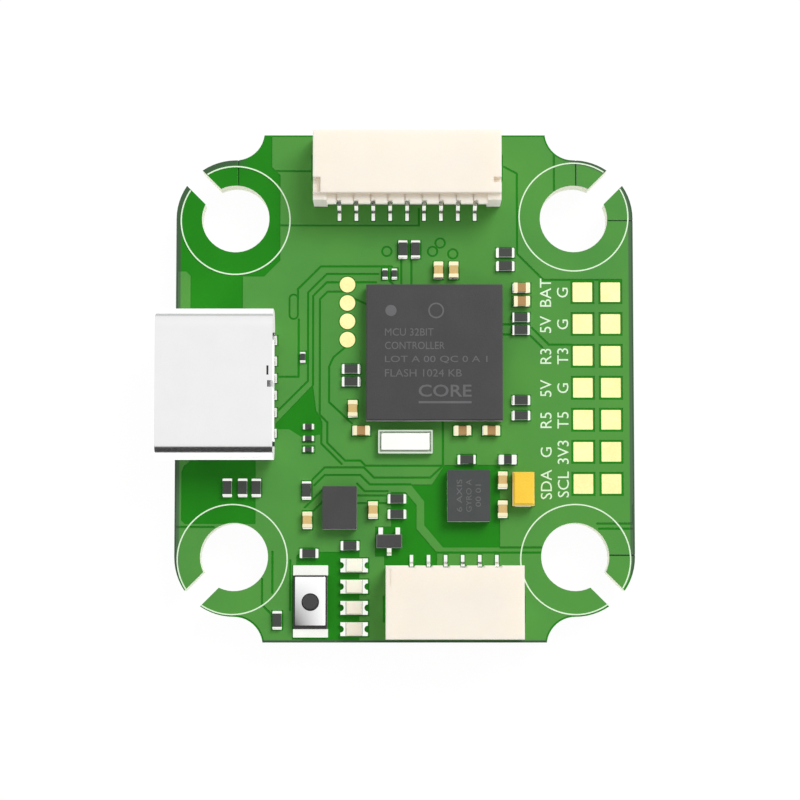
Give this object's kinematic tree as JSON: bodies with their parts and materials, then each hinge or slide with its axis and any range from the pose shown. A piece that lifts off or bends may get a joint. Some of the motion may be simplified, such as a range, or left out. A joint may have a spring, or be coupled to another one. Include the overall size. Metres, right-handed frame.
{
  "type": "flight controller board",
  "caption": "Soft-mounted flight controller board with a USB receptacle, side-entry wire connectors, solder pads and a boot button on a notched green laminate",
  "frame": {"origin": "centre of the square of four mounting holes, on the underside of the laminate", "axes": "+Z out of the component side, +Y towards the nine-way wire connector, +X towards the two columns of solder pads, so the USB receptacle overhangs the -X edge"},
  "size_m": [0.028, 0.03, 0.0061],
  "materials": {
    "epoxy": "laser-marked moulded epoxy",
    "laminate": "glass-fibre laminate under green solder mask",
    "lacquered_copper": "copper foil under green solder mask",
    "gold": "immersion gold over nickel",
    "substrate": "green package substrate",
    "solder": "reflowed lead-free solder",
    "tin": "bright tin plate",
    "ceramic_tan": "sintered tan ceramic",
    "resistor_glaze": "black glazed thick film",
    "ferrite": "dark pressed ferrite",
    "crystal_ceramic": "fired ceramic tray",
    "crystal_lid": "seam-welded nickel-iron lid",
    "led_base": "white moulded laminate base",
    "led_lens": "milky epoxy lens",
    "tantalum": "yellow moulded epoxy",
    "connector_nylon": "natural glass-filled nylon",
    "shell_steel": "deep-drawn stainless steel, nickel plated",
    "usb_nylon": "black liquid-crystal polymer",
    "button_nylon": "black nylon",
    "button_steel": "stamped stainless steel",
    "button_plunger": "dark grey nylon"
  },
  "bodies": {
    "board": {"barometer": "epoxy", "barometer_lands": "gold", "bottom_copper": "lacquered_copper", "buck_regulator_leads": "tin", "buck_regulators": "epoxy", "bulk_capacitor_end_caps": "tin", "bulk_capacitors": "ceramic_tan", "button_cover": "button_steel", "button_dome": "button_steel", "button_housing": "button_nylon", "button_terminals": "tin", "capacitor_bodies": "ceramic_tan", "capacitor_end_caps": "tin", "circuit_board": "laminate", "crystal_base": "crystal_ceramic", "crystal_lands": "gold", "crystal_lid": "crystal_lid", "ferrite_bead_body": "ferrite", "ferrite_bead_end_caps": "tin", "flash_memory": "epoxy", "flash_memory_lands": "gold", "inductor_terminals": "tin", "led_bases": "led_base", "led_lenses": "led_lens", "led_terminals": "tin", "linear_regulator": "epoxy", "linear_regulator_leads": "tin", "motion_sensor": "epoxy", "motion_sensor_lands": "gold", "nine_way_anchors": "tin", "nine_way_contacts": "tin", "nine_way_housing": "connector_nylon", "power_inductors": "ferrite", "processor_balls": "solder", "processor_mould": "epoxy", "processor_substrate": "substrate", "resistor_bodies": "resistor_glaze", "resistor_end_caps": "tin", "six_way_anchors": "tin", "six_way_contacts": "tin", "six_way_housing": "connector_nylon", "small_resistor_bodies": "resistor_glaze", "small_resistor_end_caps": "tin", "solder_pads": "gold", "tantalum_body": "tantalum", "tantalum_terminals": "tin", "test_pads": "gold", "top_copper": "lacquered_copper", "transistor_body": "epoxy", "transistor_leads": "tin", "underside_capacitor_end_caps": "tin", "underside_capacitors": "ceramic_tan", "underside_resistor_end_caps": "tin", "underside_resistors": "resistor_glaze", "usb_contacts": "tin", "usb_insulator": "usb_nylon", "usb_shell": "shell_steel"},
    "plunger": {"button_plunger": "button_plunger"}
  },
  "joints": [
    {"name": "boot_button_press", "type": "slide", "parent": "board", "child": "plunger", "axis": [0, 0, -1], "range_m": [0, 0.0002], "stiffness_N_per_m": 800, "springref_m": -0.0002, "deforming": ["button_dome"]}
  ]
}
